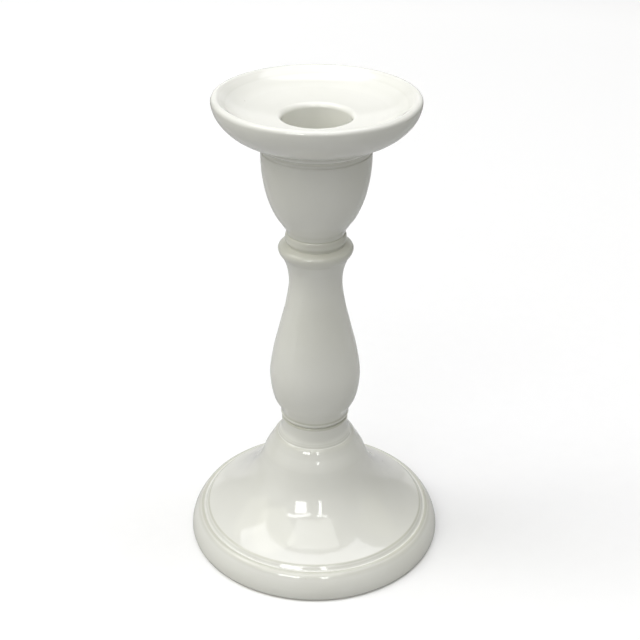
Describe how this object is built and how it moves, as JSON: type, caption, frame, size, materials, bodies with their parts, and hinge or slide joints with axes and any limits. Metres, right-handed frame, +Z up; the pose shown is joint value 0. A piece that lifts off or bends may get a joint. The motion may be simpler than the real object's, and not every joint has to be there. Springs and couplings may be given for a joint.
{
  "type": "candlestick",
  "caption": "Turned baluster candlestick in white glazed ceramic, with a wide drip pan, a bell-shaped candle cup and a flared hollow foot.",
  "frame": {"origin": "centre of the foot, on the surface that the candlestick stands on", "axes": "+Z up along the axis of the candle; the body is round, so +X and +Y are free"},
  "size_m": [0.093, 0.093, 0.17],
  "materials": {
    "white_glaze": "glossy warm white glaze",
    "fired_slip": "glaze-covered fired clay slip"
  },
  "bodies": {
    "root": {"drip_pan": "white_glaze", "pan_luting_slip": "fired_slip", "candle_cup": "white_glaze", "cup_luting_slip": "fired_slip", "baluster_stem": "white_glaze", "stem_luting_slip": "fired_slip", "foot": "white_glaze"}
  },
  "joints": []
}
